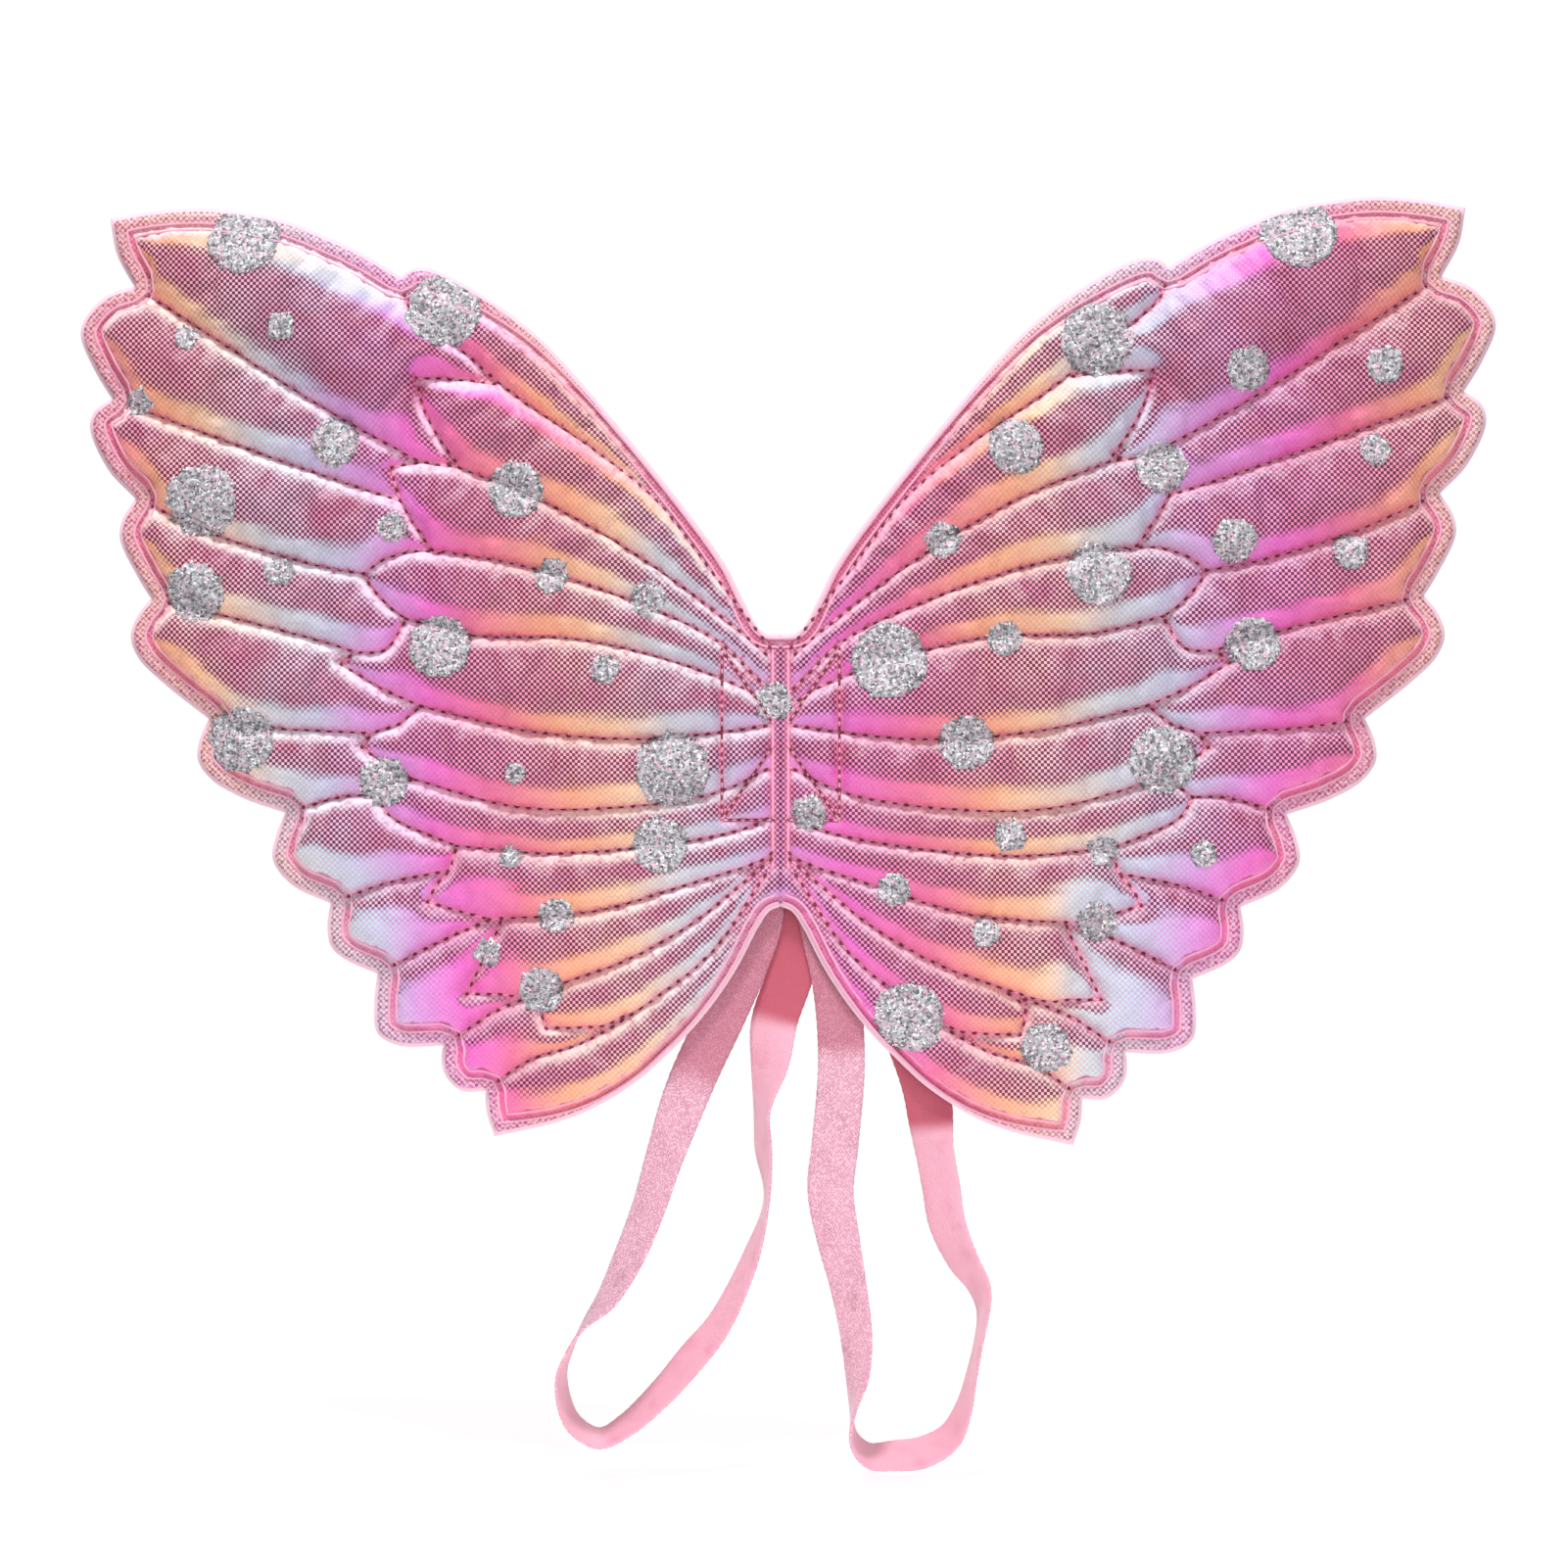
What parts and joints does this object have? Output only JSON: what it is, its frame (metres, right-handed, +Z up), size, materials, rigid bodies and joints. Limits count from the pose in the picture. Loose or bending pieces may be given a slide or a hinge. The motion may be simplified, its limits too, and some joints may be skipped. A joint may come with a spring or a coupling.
{
  "type": "fairy wings",
  "caption": "Quilted padded costume wings with feather-shaped edges and glitter spots, worn on the back by elastic arm loops; each wing folds beside the spine.",
  "frame": {"origin": "middle of the strap panel's back face, which lies on the wearer's back", "axes": "+Z up along the spine, +Y towards the wearer, +X towards the right-hand wing as seen from the decorated side"},
  "size_m": [0.448, 0.0216, 0.404],
  "materials": {
    "cover": "iridescent rainbow foil print under a fine diagonal mesh, quilted",
    "foam": "soft white sheet foam",
    "backing": "plain woven pale pink fabric",
    "panel": "plain woven pink fabric, box-stitched",
    "elastic": "flat woven elastic with one glittery face",
    "glitter": "silver glitter print",
    "thread": "pink sewing thread"
  },
  "bodies": {
    "centre": {"centre_cover": "cover", "centre_foam": "foam", "centre_backing": "backing", "strap_panel": "panel", "left_strap": "elastic", "right_strap": "elastic"},
    "left_wing": {"left_cover": "cover", "left_foam": "foam", "left_backing": "backing"},
    "right_wing": {"right_cover": "cover", "right_foam": "foam", "right_backing": "backing"}
  },
  "joints": [
    {"name": "left_fold", "type": "hinge", "parent": "centre", "child": "left_wing", "pos_m": [-0.0195, -0.0035, 0], "axis": [0, 0, 1], "range_deg": [0, 80], "stiffness_Nm_per_rad": 0.02},
    {"name": "right_fold", "type": "hinge", "parent": "centre", "child": "right_wing", "pos_m": [0.0195, -0.0035, 0], "axis": [0, 0, -1], "range_deg": [0, 80], "stiffness_Nm_per_rad": 0.02}
  ]
}
